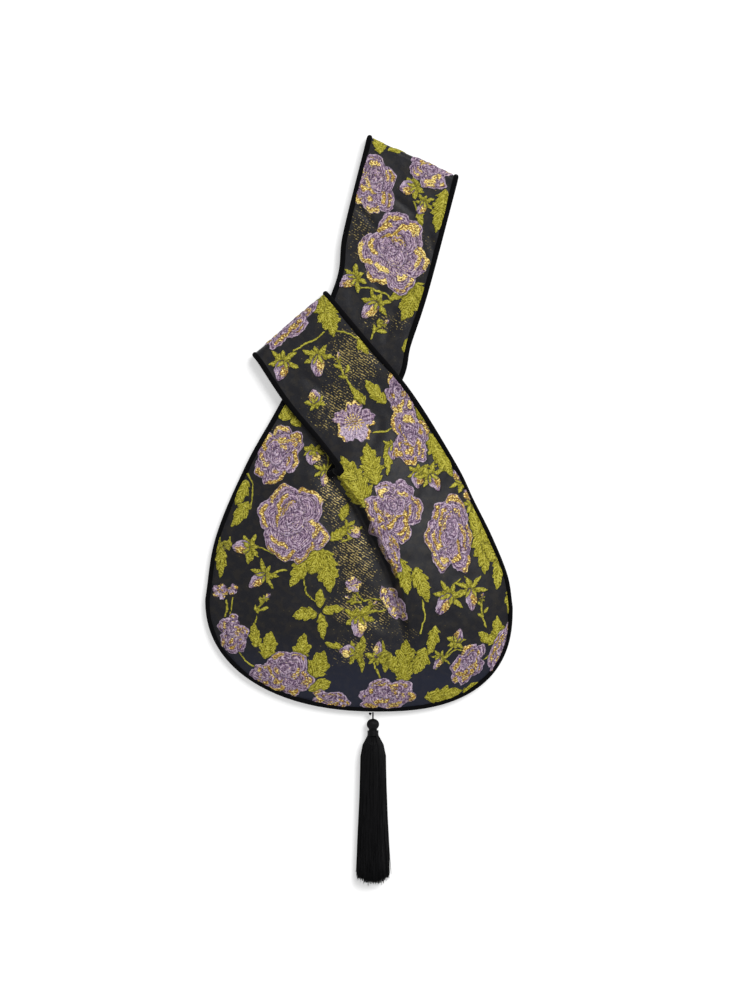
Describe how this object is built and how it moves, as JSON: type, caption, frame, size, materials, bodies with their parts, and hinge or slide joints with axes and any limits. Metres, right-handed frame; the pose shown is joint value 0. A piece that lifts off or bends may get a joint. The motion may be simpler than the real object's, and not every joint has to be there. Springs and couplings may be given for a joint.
{
  "type": "knot wristlet bag",
  "caption": "Soft knot bag of floral brocade, closed by passing its long handle through its short one, with a silk tassel at the bottom.",
  "frame": {"origin": "middle of the whole bag's footprint, on the surface it lies on", "axes": "+Y towards the end of the long handle, the tassel points to -Y, +Z out of the front"},
  "size_m": [0.2617, 0.6386, 0.0322],
  "materials": {
    "floral_brocade": "raised brocade with a satin sheen",
    "satin_lining": "satin",
    "velvet_piping": "velvet",
    "silk_thread": "silk sheen"
  },
  "bodies": {
    "bag": {"brocade_front": "floral_brocade", "brocade_back": "floral_brocade", "lining_front": "satin_lining", "lining_back": "satin_lining", "neck_piping": "velvet_piping", "seam_piping": "velvet_piping", "long_handle_piping": "velvet_piping", "short_handle_piping": "velvet_piping"},
    "hanger": {"tassel_hanger": "silk_thread", "hanger_knot": "silk_thread"},
    "tassel": {"tassel_threads": "silk_thread", "tassel_binding": "silk_thread"}
  },
  "joints": [
    {"name": "hanger_lift", "type": "hinge", "parent": "bag", "child": "hanger", "pos_m": [0.0119, -0.17305, 0.007], "axis": [-1, 0, 0], "range_deg": [-80, 95]},
    {"name": "tassel_swing", "type": "hinge", "parent": "hanger", "child": "tassel", "pos_m": [0.0119, -0.1768, 0.007], "axis": [0, 0, 1], "range_deg": [-50, 50]}
  ]
}
